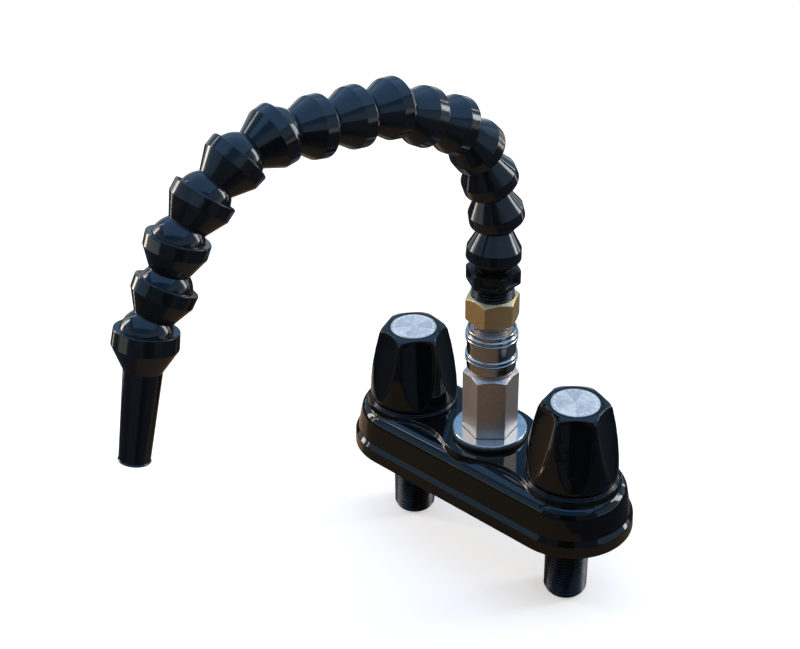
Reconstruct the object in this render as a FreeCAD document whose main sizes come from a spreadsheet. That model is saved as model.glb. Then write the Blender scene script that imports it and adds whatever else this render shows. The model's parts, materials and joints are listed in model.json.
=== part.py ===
import FreeCAD, Part
import math
import os
import Sketcher

# Flexible spout tap: a two handle deck with a quick coupler and a ball-and-socket hose.
# Lengths in mm. X runs from handle to handle, -Y is the front, z = 0 is the sink top.

doc = FreeCAD.newDocument("flexible_spout_tap")
sheet = doc.addObject("Spreadsheet::Sheet", "Sizes")

# Sizes, in the order of the pieces from the sink up; each is written once
SIZES = dict(
    handle_centre=50.8, fit=0.05, loose=0.3,
    # inlet shanks, their neck and their bore
    shank_r=10.65, shank_bore_r=6.5, shank_drop=43.4, shank_end=0.9, shank_neck_r=10.2,
    # gasket under the valve body
    gasket_gap=0.5, gasket_t=1.6,
    # deck cover: outline radius at each height, wall, where the wall leans in, plateau and handle rims
    foot_r=30.85, band_z=2.6, foot_draft=0.1, ledge_z=5.2, ledge_r=29.6, cove_z=10.5, cove_r=28.5, deck_z=24.9,
    deck_r=26.2, shoulder=8.0, shell=2.6, lean_in_z=18.5, lean_in_r=24.4, collar_r=23.2, boss_r=24.2,
    waist_r=20.0, plateau_z=27.3, plateau_edge=1.0, rim_r=22.0, rim_hole_r=18.5, rim_z=28.5,
    tower_hole_r=13.2,
    # valve body
    tower_r=15.4, tower_bore_r=10.0, bar_half=12.0, bar_z=21.0, seat_z=8.0, cross_r=3.2, cross_z=16.0,
    centre_r=13.0, centre_bore_r=5.5, centre_floor_z=10.0,
    # valve inside each tower
    seal_t=1.6, seal_hole_r=7.4, disc_t=2.2, port_r=2.0, port_at=5.2, foot_disc_r=8.6, foot_disc_t=2.4,
    stem_r=4.9, stem_z=41.0, spline_r=4.0, spline_z=59.6, bonnet_low_z=19.4, bonnet_flange_r=12.4,
    bonnet_flange_t=2.0, bonnet_neck_r=8.4, bonnet_z=39.6, ring_wire_r=0.6, ring_z=31.0,
    # handle knob, its hollow and its six scoops
    knob_z=29.2, knob_foot_r=21.8, knob_belly_z=31.0, knob_belly_r=22.3, knob_low_z=38.0, knob_low_r=21.9,
    knob_mid_z=47.0, knob_mid_r=20.9, knob_high_z=56.0, knob_high_r=19.4, knob_rib_z=64.8, knob_rib_r=17.4,
    knob_dome_z=66.9, knob_dome_r=16.1, knob_top_z=67.7, knob_top_r=13.6, knob_hollow_r=13.6,
    knob_hollow_z=43.0, scoop_r=90.0, scoop_foot=22.7, scoop_lean=12.2, scoop_count=6,
    # index disc and the screw under it
    index_r=11.5, index_t=1.1, index_z=67.95, screw_r=2.0, screw_length=12.0, screw_head_r=4.2,
    screw_head_t=2.6, screw_seat_z=61.4,
    # nipple, pad and washer in the middle
    nipple_r=8.0, nipple_bore_r=5.5, nipple_low_z=20.0, nipple_z=46.0, pad_r=18.7, pad_t=2.1, washer_r=18.4,
    washer_t=1.5, washer_edge=0.3,
    # rise of the cone that cuts each hexagon's corners, and the coupler body
    hex_slope=0.577, body_flats=23.8, body_turn=-18.3, hex_z=64.25, foot_ring_r=10.9, foot_ring_z=65.6,
    neck_r=9.9, neck_z=88.2, socket_r=8.05, socket_z=62.0, water_r=4.6,
    # coupler sleeve with its two pairs of ridges
    sleeve_low_z=66.9, sleeve_z=88.6, sleeve_r=11.95, sleeve_bore_r=11.05, sleeve_edge=0.7, ridge_r=12.7,
    ridge_t=2.1, ridge_slope=0.45, ridge_low_z=70.9, ridge_high_z=82.2, land_low_z=78.0, land_z=86.6,
    # locking balls, retaining ring, spring and seal of the coupler
    lock_r=1.4, lock_z=83.7, lock_count=6, clip_t=0.8, clip_r=9.2, clip_out_r=10.8, clip_open=30.0,
    spring_wire_r=0.4, spring_turns=5.0, coupler_ring_wire_r=0.88, coupler_ring_z=66.0,
    # brass adapter with its plug
    adapter_flats=23.0, adapter_turn=-5.8, adapter_low_z=91.5, adapter_z=106.4, adapter_face_r=10.6,
    nose_r=6.15, nose_z=62.4, nose_step_z=68.0, plug_r=7.95, groove_r=7.05, groove_half=1.7, thread_r=10.2,
    thread_floor_z=95.0, thread_play=0.4,
    # hose connector
    connector_flats=22.8, connector_turn=-31.7, connector_low_z=113.4, connector_z=120.7,
    connector_face_r=12.6, pocket_deep=1.2, pocket_high=4.4, pocket_wide=8.2, hose_bore_r=6.2, hose_z=128.39,
    # hose segment: pitch, ball, socket cup and neck
    pitch=19.42, ball_r=10.9, ball_end=6.0, ball_fit=0.07, lip_drop=2.5, lip_r=12.75, lip_edge=0.6,
    cup_r=13.0, cup_high=5.7, cup_band_r=12.78, waist_out_r=8.0,
    # nozzle
    nozzle_lip_r=13.0, nozzle_band_r=13.4, nozzle_band_z=4.5, nozzle_cone_z=14.5, nozzle_neck_r=7.9,
    nozzle_z=54.0, nozzle_tip_r=6.45, nozzle_bead=0.35, nozzle_bore_r=4.7, nozzle_taper_z=18.0,
    # in degrees: turn of each knob, heading of the hose, and each hose joint's bend in the hose's plane
    knob_turn_left=-70.8, knob_turn_right=-80.3, hose_heading=-99.6, hose_count=15,
    bend_angle_01=-3.0, bend_angle_02=16.0, bend_angle_03=10.7, bend_angle_04=18.2, bend_angle_05=21.3,
    bend_angle_06=0.2, bend_angle_07=21.5, bend_angle_08=1.0, bend_angle_09=-2.1, bend_angle_10=21.5,
    bend_angle_11=20.4, bend_angle_12=14.0, bend_angle_13=18.5, bend_angle_14=-9.5, bend_angle_15=17.0,
    # in degrees: lean of each hose piece out of that plane
    lean_angle_01=0.0, lean_angle_02=0.2, lean_angle_03=0.2, lean_angle_04=1.6, lean_angle_05=1.4,
    lean_angle_06=1.4, lean_angle_07=2.6, lean_angle_08=2.8, lean_angle_09=1.6, lean_angle_10=1.4,
    lean_angle_11=0.2, lean_angle_12=-0.5, lean_angle_13=-0.8, lean_angle_14=0.6, lean_angle_15=3.6,
)

for row, (word, number) in enumerate(SIZES.items(), start=1):
    sheet.set("A%d" % row, word)
    sheet.set("B%d" % row, str(number))
    sheet.setAlias("B%d" % row, word)
doc.recompute()


SIDES = (("left", -1), ("right", 1))
up = FreeCAD.Vector(0, 0, 1)


class Size:
    """A length from the sheet, or a sum of some, as a number and as the words that a feature is bound to."""

    def __init__(self, value, text):
        self.value = float(value)
        self.text = text

    def __add__(self, other):
        other = measure(other)
        return Size(self.value + other.value, "(%s + %s)" % (self.text, other.text))

    def __sub__(self, other):
        other = measure(other)
        return Size(self.value - other.value, "(%s - %s)" % (self.text, other.text))

    def __mul__(self, other):
        other = measure(other)
        return Size(self.value * other.value, "(%s * %s)" % (self.text, other.text))

    def __truediv__(self, other):
        other = measure(other)
        return Size(self.value / other.value, "(%s / %s)" % (self.text, other.text))

    def __neg__(self):
        return Size(-self.value, "(0 - %s)" % self.text)


def measure(thing):
    """Any number as a Size."""
    return thing if isinstance(thing, Size) else Size(thing, repr(thing))


def root(thing):
    return Size(math.sqrt(thing.value), "sqrt(%s)" % thing.text)


def cosine(degrees):
    return Size(math.cos(math.radians(degrees.value)), "cos(%s)" % degrees.text)


class Sheet:
    """The sheet's sizes by name."""

    def __getattr__(self, word):
        return Size(sheet.get(word), "Sizes." + word)


S = Sheet()


def bind(thing, prop, length):
    """Ties a property to the sheet."""
    thing.setExpression(prop, measure(length).text)


def origin_plane(body, role):
    return next(f for f in body.Origin.OriginFeatures if f.Role == role)


def new_body(name):
    body = doc.addObject("PartDesign::Body", name)
    body.Label = name
    return body


def attach(body, feature, role="XY_Plane", z=None):
    feature.AttachmentSupport = (origin_plane(body, role), "")
    feature.MapMode = "FlatFace"
    if z is not None:
        feature.setExpression("AttachmentOffset.Base.z", measure(z).text)


def new_sketch(body, name, role="XY_Plane", z=None):
    sketch = body.newObject("Sketcher::SketchObject", name)
    attach(body, sketch, role, z)
    return sketch


def locate(sketch, geometry, point, x, y):
    """Ties a point of the sketch to the sheet, from the sketch's origin."""
    for kind, axis, length in (("DistanceX", -2, measure(x)), ("DistanceY", -1, measure(y))):
        if abs(length.value) < 1e-9:
            sketch.addConstraint(Sketcher.Constraint("PointOnObject", geometry, point, axis))
        else:
            index = sketch.addConstraint(Sketcher.Constraint(kind, -1, 1, geometry, point, length.value))
            sketch.setExpression("Constraints[%d]" % index, length.text)


def polygon(sketch, points):
    """Closed outline whose corners are tied to the sheet."""
    corners = [FreeCAD.Vector(measure(x).value, measure(y).value, 0) for x, y in points]
    count = len(corners)
    for i in range(count):
        sketch.addGeometry(Part.LineSegment(corners[i], corners[(i + 1) % count]), False)
    for i in range(count):
        sketch.addConstraint(Sketcher.Constraint("Coincident", i, 2, (i + 1) % count, 1))
    for i, (x, y) in enumerate(points):
        locate(sketch, i, 1, x, y)


def circles(sketch, rows):
    """Circles at (x, y) of radius r."""
    for x, y, r in rows:
        centre = FreeCAD.Vector(measure(x).value, measure(y).value, 0)
        i = sketch.addGeometry(Part.Circle(centre, up, measure(r).value), False)
        locate(sketch, i, 3, x, y)
        index = sketch.addConstraint(Sketcher.Constraint("Radius", i, measure(r).value))
        bind(sketch, "Constraints[%d]" % index, r)


def obround(body, name, r, z):
    """Outline of two half circles about the handle axes, joined by straight sides."""
    sketch = new_sketch(body, name, z=z)
    half, radius = S.handle_centre, measure(r)
    for side, start in ((1, -90), (-1, 90)):
        circle = Part.Circle(FreeCAD.Vector(side * half.value, 0, 0), up, radius.value)
        sketch.addGeometry(Part.ArcOfCircle(circle, math.radians(start), math.radians(start + 180)), False)
    top = [FreeCAD.Vector(side * half.value, radius.value, 0) for side in (1, -1)]
    low = [FreeCAD.Vector(side * half.value, -radius.value, 0) for side in (-1, 1)]
    sketch.addGeometry(Part.LineSegment(*top), False)
    sketch.addGeometry(Part.LineSegment(*low), False)
    for first, second in (((0, 2), (2, 1)), ((2, 2), (1, 1)), ((1, 2), (3, 1)), ((3, 2), (0, 1))):
        sketch.addConstraint(Sketcher.Constraint("Tangent", first[0], first[1], second[0], second[1]))
    locate(sketch, 0, 3, half, 0)
    locate(sketch, 1, 3, -half, 0)
    index = sketch.addConstraint(Sketcher.Constraint("Radius", 0, radius.value))
    bind(sketch, "Constraints[%d]" % index, radius)
    return sketch


def hexagon(sketch, flats):
    """Hexagon with its first corner on X."""
    corner = flats / root(measure(3))
    side = corner / 2
    half = flats / 2
    polygon(sketch, [(corner, 0), (side, half), (-side, half), (-corner, 0), (-side, -half), (side, -half)])


def pad(body, name, sketch, length):
    feature = body.newObject("PartDesign::Pad", name)
    feature.Profile = sketch
    bind(feature, "Length", length)
    return feature


def turn(body, name, sketch, cut=False, angle=360.0):
    """Revolves a profile about the piece's own axis, to add or to cut."""
    feature = body.newObject("PartDesign::Groove" if cut else "PartDesign::Revolution", name)
    feature.Profile = sketch
    feature.ReferenceAxis = (sketch, ["V_Axis"])
    feature.Angle = angle
    return feature


def turned(name, points, angle=360.0):
    """A body turned from one profile of (radius, height) corners."""
    body = new_body(name)
    sketch = new_sketch(body, name + "_profile", "XZ_Plane")
    polygon(sketch, points)
    turn(body, name + "_turned", sketch, angle=angle)
    return body


def along_x(body, name, half_section, cut=False):
    """Turns a half section about each handle's axis and draws the whole section between them."""
    low, high = half_section[0][1], half_section[-1][1]
    for side, sign in SIDES:
        profile = new_sketch(body, "%s_end_%s" % (name, side), "XZ_Plane")
        bind(profile, "AttachmentOffset.Base.x", S.handle_centre * sign)
        polygon(profile, [(0, low)] + half_section + [(0, high)])
        turn(body, "%s_turned_%s" % (name, side), profile, cut=cut)
    section = new_sketch(body, name + "_section", "YZ_Plane", z=S.handle_centre if cut else -S.handle_centre)
    polygon(section, half_section + [(-r, z) for r, z in reversed(half_section)])
    drawn = body.newObject("PartDesign::Pocket" if cut else "PartDesign::Pad", name + "_drawn")
    drawn.Profile = section
    bind(drawn, "Length", S.handle_centre * 2)
    return drawn


def cylinder(body, name, r, low, high, x=0, y=0, cut=True):
    """Adds or cuts a cylinder along Z between two heights."""
    feature = body.newObject("PartDesign::%sCylinder" % ("Subtractive" if cut else "Additive"), name)
    attach(body, feature, z=low)
    bind(feature, "Radius", r)
    bind(feature, "Height", measure(high) - low)
    for prop, place in (("AttachmentOffset.Base.x", x), ("AttachmentOffset.Base.y", y)):
        if measure(place).value:
            bind(feature, prop, place)
    return feature


def sphere(body, name, r, z, cut, top=90.0):
    feature = body.newObject("PartDesign::%sSphere" % ("Subtractive" if cut else "Additive"), name)
    attach(body, feature, z=z)
    bind(feature, "Radius", r)
    if isinstance(top, Size):
        bind(feature, "Angle2", top)
    return feature


def around(body, name, features, count):
    """Repeats features about the body's Z axis."""
    pattern = body.newObject("PartDesign::PolarPattern", name)
    pattern.Originals = features
    pattern.Axis = (origin_plane(body, "Z_Axis"), [""])
    pattern.Angle = 360
    bind(pattern, "Occurrences", count)
    body.Tip = pattern
    return pattern


def round_edges(body, name, radius, at_height):
    """Rounds the edges that lie wholly at one height."""
    doc.recompute()
    base = body.Tip
    z = measure(at_height).value
    names = []
    for i, edge in enumerate(base.Shape.Edges, start=1):
        if abs(edge.BoundBox.ZMin - z) < 1e-4 and abs(edge.BoundBox.ZMax - z) < 1e-4:
            names.append("Edge%d" % i)
    feature = body.newObject("PartDesign::Fillet", name)
    feature.Base = (base, names)
    bind(feature, "Radius", radius)
    return feature


def stand(piece, x=0, turned_by=0.0):
    """Stands a piece on an axis along Z, turned about it."""
    piece.Placement = FreeCAD.Placement(FreeCAD.Vector(measure(x).value, 0, 0),
                                        FreeCAD.Rotation(up, measure(turned_by).value))


pieces = []

# Gasket: foam sheet inside the foot of the cover, with a hole for each shank
gasket = new_body("deck_gasket")
gasket_r = S.foot_r - S.shell - S.gasket_gap
pad(gasket, "gasket_sheet", obround(gasket, "gasket_outline", gasket_r, 0), S.gasket_t)
for side, sign in SIDES:
    cylinder(gasket, "gasket_hole_" + side, S.shank_r + S.loose, 0, S.gasket_t, x=S.handle_centre * sign)
pieces.append(gasket)

# Inlet shanks: threaded tubes that pass through the sink
for side, sign in SIDES:
    shank = turned("inlet_shank_" + side, [
        (S.shank_bore_r, -S.shank_drop), (S.shank_r - S.shank_end, -S.shank_drop),
        (S.shank_r, S.shank_end - S.shank_drop), (S.shank_r, 0), (S.shank_neck_r, 0),
        (S.shank_neck_r, S.gasket_t), (S.shank_bore_r, S.gasket_t)])
    stand(shank, S.handle_centre * sign)
    pieces.append(shank)

# Valve body: a bar with a tower at each handle and a boss in the middle, bored for water
valve = new_body("valve_body")
under_z = S.plateau_z - S.shell
pad(valve, "valve_bar", obround(valve, "valve_outline", S.bar_half, S.gasket_t), S.bar_z - S.gasket_t)
for side, sign in SIDES:
    at = S.handle_centre * sign
    cylinder(valve, "tower_" + side, S.tower_r, S.gasket_t, under_z, x=at, cut=False)
cylinder(valve, "centre_boss", S.centre_r, S.gasket_t, under_z, cut=False)
for side, sign in SIDES:
    at = S.handle_centre * sign
    cylinder(valve, "tower_bore_" + side, S.tower_bore_r, S.seat_z, under_z, x=at)
    cylinder(valve, "inlet_bore_" + side, S.shank_bore_r, S.gasket_t, S.seat_z, x=at)
cylinder(valve, "centre_seat", S.nipple_r + S.fit, S.nipple_low_z, under_z)
cylinder(valve, "centre_water", S.centre_bore_r, S.centre_floor_z, S.nipple_low_z)
cross = valve.newObject("PartDesign::SubtractiveCylinder", "cross_water")
attach(valve, cross, "YZ_Plane")
bind(cross, "Radius", S.cross_r)
bind(cross, "Height", S.handle_centre * 2)
bind(cross, "AttachmentOffset.Base.y", S.cross_z)
bind(cross, "AttachmentOffset.Base.z", -S.handle_centre)
pieces.append(valve)

# Deck cover: one section turned at each end and drawn along X between the handles, with a plateau on top
cover = new_body("deck_cover")
band_r = S.foot_r - S.foot_draft
half_section = [(S.foot_r, 0), (band_r, S.band_z), (S.ledge_r, S.ledge_z), (S.cove_r, S.cove_z),
                (S.deck_r, S.deck_z)]
along_x(cover, "cover", half_section)
round_edges(cover, "cover_shoulder", S.shoulder, S.deck_z)
plateau_low = S.deck_z - S.shoulder
for side, sign in SIDES:
    at = S.handle_centre * sign
    cylinder(cover, "collar_" + side, S.collar_r, plateau_low, S.plateau_z, x=at, cut=False)
cylinder(cover, "boss", S.boss_r, plateau_low, S.plateau_z, cut=False)
# each waist is an arc that touches the collar's circle and the boss's circle
to_boss = S.boss_r + S.waist_r
to_collar = S.collar_r + S.waist_r
spread = S.handle_centre * S.handle_centre
waist_x = (to_boss * to_boss - to_collar * to_collar + spread) / (S.handle_centre * 2)
waist_y = root(to_boss * to_boss - waist_x * waist_x)
touch_x = waist_x * S.boss_r / to_boss
touch_y = waist_y * S.boss_r / to_boss
far_x = S.handle_centre - (S.handle_centre - waist_x) * S.collar_r / to_collar
far_y = waist_y * S.collar_r / to_collar
for side, sign in SIDES:
    bridge = new_sketch(cover, "bridge_" + side, z=S.deck_z)
    polygon(bridge, [(touch_x * sign, -touch_y), (far_x * sign, -far_y), (far_x * sign, far_y),
                     (touch_x * sign, touch_y)])
    pad(cover, "bridge_pad_" + side, bridge, S.plateau_z - S.deck_z)
waists = new_sketch(cover, "waist_arcs", z=S.plateau_z)
circles(waists, [(waist_x * a, waist_y * b, S.waist_r) for a in (1, -1) for b in (1, -1)])
waist_cut = cover.newObject("PartDesign::Pocket", "waist_cut")
waist_cut.Profile = waists
bind(waist_cut, "Length", S.plateau_z - S.deck_z)
round_edges(cover, "plateau_round", S.plateau_edge, S.plateau_z)
for side, sign in SIDES:
    cylinder(cover, "rim_" + side, S.rim_r, S.plateau_z - S.plateau_edge, S.rim_z, x=S.handle_centre * sign,
             cut=False)
inside = [(S.foot_r - S.shell, 0), (band_r - S.shell, S.band_z), (S.ledge_r - S.shell, S.ledge_z),
          (S.cove_r - S.shell, S.cove_z), (S.lean_in_r, S.lean_in_z),
          (S.collar_r - S.shell, S.deck_z - S.shell)]
along_x(cover, "hollow", inside, cut=True)
for side, sign in SIDES:
    at = S.handle_centre * sign
    cylinder(cover, "collar_hollow_" + side, S.collar_r - S.shell, S.deck_z - S.shell, under_z, x=at)
    cylinder(cover, "rim_hole_" + side, S.rim_hole_r, S.plateau_z, S.rim_z, x=at)
    cylinder(cover, "tower_hole_" + side, S.tower_hole_r, under_z, S.plateau_z, x=at)
cylinder(cover, "boss_hollow", S.boss_r - S.shell, S.deck_z - S.shell, under_z)
cylinder(cover, "boss_hole", S.nipple_r + S.loose, under_z, S.plateau_z)
pieces.append(cover)

# Valve parts in each tower, from the seal up to the knob's index disc
disc_z = S.seat_z + S.seal_t
stem_foot_z = disc_z + S.disc_t + S.fit
stem_foot_top = stem_foot_z + S.foot_disc_t
for side, sign in SIDES:
    at = S.handle_centre * sign
    seal = turned("valve_seal_" + side, [
        (S.seal_hole_r, S.seat_z), (S.tower_bore_r - S.fit, S.seat_z), (S.tower_bore_r - S.fit, disc_z),
        (S.seal_hole_r, disc_z)])
    stand(seal, at)
    disc = new_body("valve_disc_" + side)
    disc_face = new_sketch(disc, "disc_face_" + side, z=disc_z)
    circles(disc_face, [(0, 0, S.tower_bore_r - S.fit), (S.port_at, 0, S.port_r), (-S.port_at, 0, S.port_r)])
    pad(disc, "disc_plate_" + side, disc_face, S.disc_t)
    stand(disc, at)
    wire = S.ring_wire_r
    ring_r = S.stem_r - wire
    stem = turned("valve_stem_" + side, [
        (0, stem_foot_z), (S.foot_disc_r, stem_foot_z), (S.foot_disc_r, stem_foot_top),
        (S.stem_r, stem_foot_top), (S.stem_r, S.ring_z - wire - S.fit),
        (ring_r - wire - S.fit, S.ring_z - wire - S.fit),
        (ring_r - wire - S.fit, S.ring_z + wire + S.fit), (S.stem_r, S.ring_z + wire + S.fit),
        (S.stem_r, S.stem_z), (S.spline_r, S.stem_z), (S.spline_r, S.spline_z), (0, S.spline_z)])
    for number, sense in ((1, 1), (2, -1)):
        cylinder(stem, "stem_port_%s_%d" % (side, number), S.port_r, stem_foot_z, stem_foot_top,
                 y=S.port_at * sense)
    cylinder(stem, "stem_screw_hole_" + side, S.screw_r + S.fit, S.screw_seat_z - S.screw_length - S.loose,
             S.spline_z)
    stand(stem, at)
    bonnet = turned("valve_bonnet_" + side, [
        (S.stem_r + S.fit, S.bonnet_low_z), (S.tower_bore_r - S.fit, S.bonnet_low_z),
        (S.tower_bore_r - S.fit, under_z), (S.bonnet_flange_r, under_z),
        (S.bonnet_flange_r, under_z + S.bonnet_flange_t), (S.bonnet_neck_r, under_z + S.bonnet_flange_t),
        (S.bonnet_neck_r, S.bonnet_z), (S.stem_r + S.fit, S.bonnet_z)])
    stand(bonnet, at)
    ring = doc.addObject("Part::Torus", "stem_ring_" + side)
    ring.Label = "stem_ring_" + side
    bind(ring, "Radius1", ring_r)
    bind(ring, "Radius2", wire)
    ring.Placement = FreeCAD.Placement(FreeCAD.Vector(at.value, 0, S.ring_z.value), FreeCAD.Rotation())

    # Knob: turned form, hollow below; each scoop is a shallow cut that leans in and runs out above the foot
    knob = turned("handle_knob_" + side, [
        (S.knob_hollow_r, S.knob_z), (S.knob_foot_r, S.knob_z), (S.knob_belly_r, S.knob_belly_z),
        (S.knob_low_r, S.knob_low_z), (S.knob_mid_r, S.knob_mid_z), (S.knob_high_r, S.knob_high_z),
        (S.knob_rib_r, S.knob_rib_z), (S.knob_dome_r, S.knob_dome_z), (S.knob_top_r, S.knob_top_z),
        (S.index_r + S.fit, S.knob_top_z),
        (S.index_r + S.fit, S.index_z - S.index_t), (S.screw_head_r + S.loose, S.index_z - S.index_t),
        (S.screw_head_r + S.loose, S.screw_seat_z), (S.screw_r + S.loose, S.screw_seat_z),
        (S.screw_r + S.loose, S.spline_z + S.loose), (S.spline_r + S.fit, S.spline_z + S.loose),
        (S.spline_r + S.fit, S.knob_hollow_z), (S.knob_hollow_r, S.knob_hollow_z)])
    scoop = knob.newObject("PartDesign::SubtractiveCylinder", "scoop_" + side)
    attach(knob, scoop)
    lean = FreeCAD.Rotation(FreeCAD.Vector(0, 1, 0), -S.scoop_lean.value)
    scoop.AttachmentOffset = FreeCAD.Placement(FreeCAD.Vector(0, 0, 0), lean)
    bind(scoop, "AttachmentOffset.Base.x", S.scoop_foot + S.scoop_r / cosine(S.scoop_lean))
    bind(scoop, "AttachmentOffset.Base.z", S.knob_z)
    bind(scoop, "Radius", S.scoop_r)
    bind(scoop, "Height", (S.knob_top_z - S.knob_z) * 2)
    around(knob, "scoops_" + side, [scoop], S.scoop_count)
    # a rib stands between two scoops, so the scoops sit half a step from the rib's turn
    stand(knob, at, (S.knob_turn_left if sign < 0 else S.knob_turn_right) + measure(180) / S.scoop_count)

    screw = turned("knob_screw_" + side, [
        (0, S.screw_seat_z - S.screw_length), (S.screw_r, S.screw_seat_z - S.screw_length),
        (S.screw_r, S.screw_seat_z), (S.screw_head_r, S.screw_seat_z),
        (S.screw_head_r, S.screw_seat_z + S.screw_head_t), (0, S.screw_seat_z + S.screw_head_t)])
    stand(screw, at)
    index = turned("index_disc_" + side, [
        (0, S.index_z - S.index_t), (S.index_r, S.index_z - S.index_t), (S.index_r, S.index_z),
        (0, S.index_z)])
    stand(index, at)
    pieces += [seal, disc, stem, bonnet, ring, knob, screw, index]

# Middle stack: nipple, black pad and chrome washer
pad_z = S.plateau_z + S.pad_t
washer_z = pad_z + S.washer_t
hole_r = S.nipple_r + S.loose
pieces.append(turned("spout_nipple", [
    (S.nipple_bore_r, S.nipple_low_z), (S.nipple_r, S.nipple_low_z), (S.nipple_r, S.nipple_z),
    (S.nipple_bore_r, S.nipple_z)]))
pieces.append(turned("spout_pad", [
    (hole_r, S.plateau_z), (S.pad_r, S.plateau_z), (S.pad_r, pad_z), (hole_r, pad_z)]))
pieces.append(turned("spout_washer", [
    (hole_r, pad_z), (S.washer_r - S.washer_edge, pad_z), (S.washer_r, pad_z + S.washer_edge),
    (S.washer_r, washer_z - S.washer_edge), (S.washer_r - S.washer_edge, washer_z), (hole_r, washer_z)]))


def hex_piece(name, flats, low, high, face_r, cut_low=True):
    """Hexagon bar with its corners cut to a cone from the end face's radius, the lower end where asked."""
    body = new_body(name)
    sketch = new_sketch(body, name + "_hexagon", z=low)
    hexagon(sketch, flats)
    pad(body, name + "_bar", sketch, high - low)
    outer_r = flats / root(measure(3)) + S.loose
    ends = [("top", high, -1)] + ([("foot", low, 1)] if cut_low else [])
    for end, z, sense in ends:
        profile = new_sketch(body, "%s_%s_cut" % (name, end), "XZ_Plane")
        polygon(profile, [(face_r, z), (outer_r, z), (outer_r, z + (outer_r - face_r) * S.hex_slope * sense)])
        turn(body, "%s_%s_cone" % (name, end), profile, cut=True)
    return body


# Coupler body: hexagon below, neck with the locking balls and the socket above
coupler = hex_piece("coupler_body", S.body_flats, washer_z, S.hex_z, S.foot_ring_r, cut_low=False)
cylinder(coupler, "coupler_foot_ring", S.foot_ring_r, S.hex_z, S.foot_ring_z, cut=False)
cylinder(coupler, "coupler_neck", S.neck_r, S.foot_ring_z, S.neck_z, cut=False)
cylinder(coupler, "coupler_nipple_bore", S.nipple_r + S.fit, washer_z, S.nipple_z)
cylinder(coupler, "coupler_water", S.water_r, S.nipple_z, S.socket_z)
cylinder(coupler, "coupler_socket", S.socket_r, S.socket_z, S.neck_z)
clip_z = S.land_z + S.fit
clip_groove = new_sketch(coupler, "clip_groove", "XZ_Plane")
polygon(clip_groove, [(S.clip_r, clip_z), (S.neck_r + S.loose, clip_z),
                      (S.neck_r + S.loose, clip_z + S.clip_t + S.fit), (S.clip_r, clip_z + S.clip_t + S.fit)])
turn(coupler, "clip_groove_cut", clip_groove, cut=True)
lock_hole = coupler.newObject("PartDesign::SubtractiveCylinder", "lock_hole")
attach(coupler, lock_hole, "XZ_Plane")
bind(lock_hole, "Radius", S.lock_r + S.fit)
bind(lock_hole, "Height", S.neck_r + S.loose - S.water_r)
bind(lock_hole, "AttachmentOffset.Base.z", S.water_r)
bind(lock_hole, "AttachmentOffset.Base.y", S.lock_z)
around(coupler, "lock_holes", [lock_hole], S.lock_count)
stand(coupler, 0, S.body_turn)
pieces.append(coupler)

# Coupler sleeve: slides down on the neck; its land holds the balls in
bore, land_r = S.sleeve_bore_r, S.neck_r + S.fit + S.fit
outer = [(S.sleeve_r, S.sleeve_low_z)]
for low in (S.ridge_low_z, S.ridge_high_z):
    for first in (low, low + S.ridge_t):
        outer += [(S.sleeve_r, first), (S.ridge_r, first + S.ridge_slope),
                  (S.ridge_r, first + S.ridge_t - S.ridge_slope)]
    outer.append((S.sleeve_r, low + S.ridge_t + S.ridge_t))
flare = bore - land_r
pieces.append(turned("coupler_sleeve", [(bore, S.sleeve_low_z)] + outer + [
    (S.sleeve_r, S.sleeve_z - S.sleeve_edge), (S.sleeve_r - S.sleeve_edge, S.sleeve_z), (bore, S.sleeve_z),
    (bore, S.land_z), (land_r, S.land_z - flare), (land_r, S.land_low_z), (bore, S.land_low_z)]))

# Retaining ring: an open spring ring in the neck's groove
clip = turned("retaining_ring", [
    (S.clip_r + S.fit, clip_z), (S.clip_out_r, clip_z), (S.clip_out_r, clip_z + S.clip_t),
    (S.clip_r + S.fit, clip_z + S.clip_t)], angle=360.0 - S.clip_open.value)
pieces.append(clip)

# Sleeve spring: a round wire wound between the foot ring and the sleeve's land
spring_r = (S.neck_r + S.sleeve_bore_r) / 2
spring_low = S.foot_ring_z + S.fit + S.spring_wire_r
spring_high = S.land_low_z - S.fit - S.spring_wire_r
spring = new_body("sleeve_spring")
wire_section = new_sketch(spring, "spring_section", "XZ_Plane")
circles(wire_section, [(spring_r, spring_low, S.spring_wire_r)])
helix = spring.newObject("PartDesign::AdditiveHelix", "spring_coil")
helix.Profile = wire_section
helix.ReferenceAxis = (wire_section, ["V_Axis"])
helix.Mode = 2
bind(helix, "Height", spring_high - spring_low)
bind(helix, "Turns", S.spring_turns)
pieces.append(spring)

# Locking balls: one in each hole of the neck, all held by the sleeve's land
balls = []
lock_at = S.neck_r - S.lock_r
for i in range(int(S.lock_count.value)):
    ball = doc.addObject("Part::Sphere", "lock_ball_%d" % (i + 1))
    bind(ball, "Radius", S.lock_r)
    angle = math.radians(S.body_turn.value + (i + 0.5) * 360.0 / S.lock_count.value)
    ball.Placement.Base = FreeCAD.Vector(lock_at.value * math.cos(angle), lock_at.value * math.sin(angle),
                                         S.lock_z.value)
    balls.append(ball)
lock = doc.addObject("Part::Compound", "locking_balls")
lock.Label = "locking_balls"
lock.Links = balls
pieces.append(lock)

# Seal at the plug's nose
coupler_ring = doc.addObject("Part::Torus", "coupler_seal")
coupler_ring.Label = "coupler_seal"
bind(coupler_ring, "Radius1", (S.socket_r + S.nose_r) / 2)
bind(coupler_ring, "Radius2", S.coupler_ring_wire_r)
bind(coupler_ring, "Placement.Base.z", S.coupler_ring_z)
pieces.append(coupler_ring)

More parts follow.
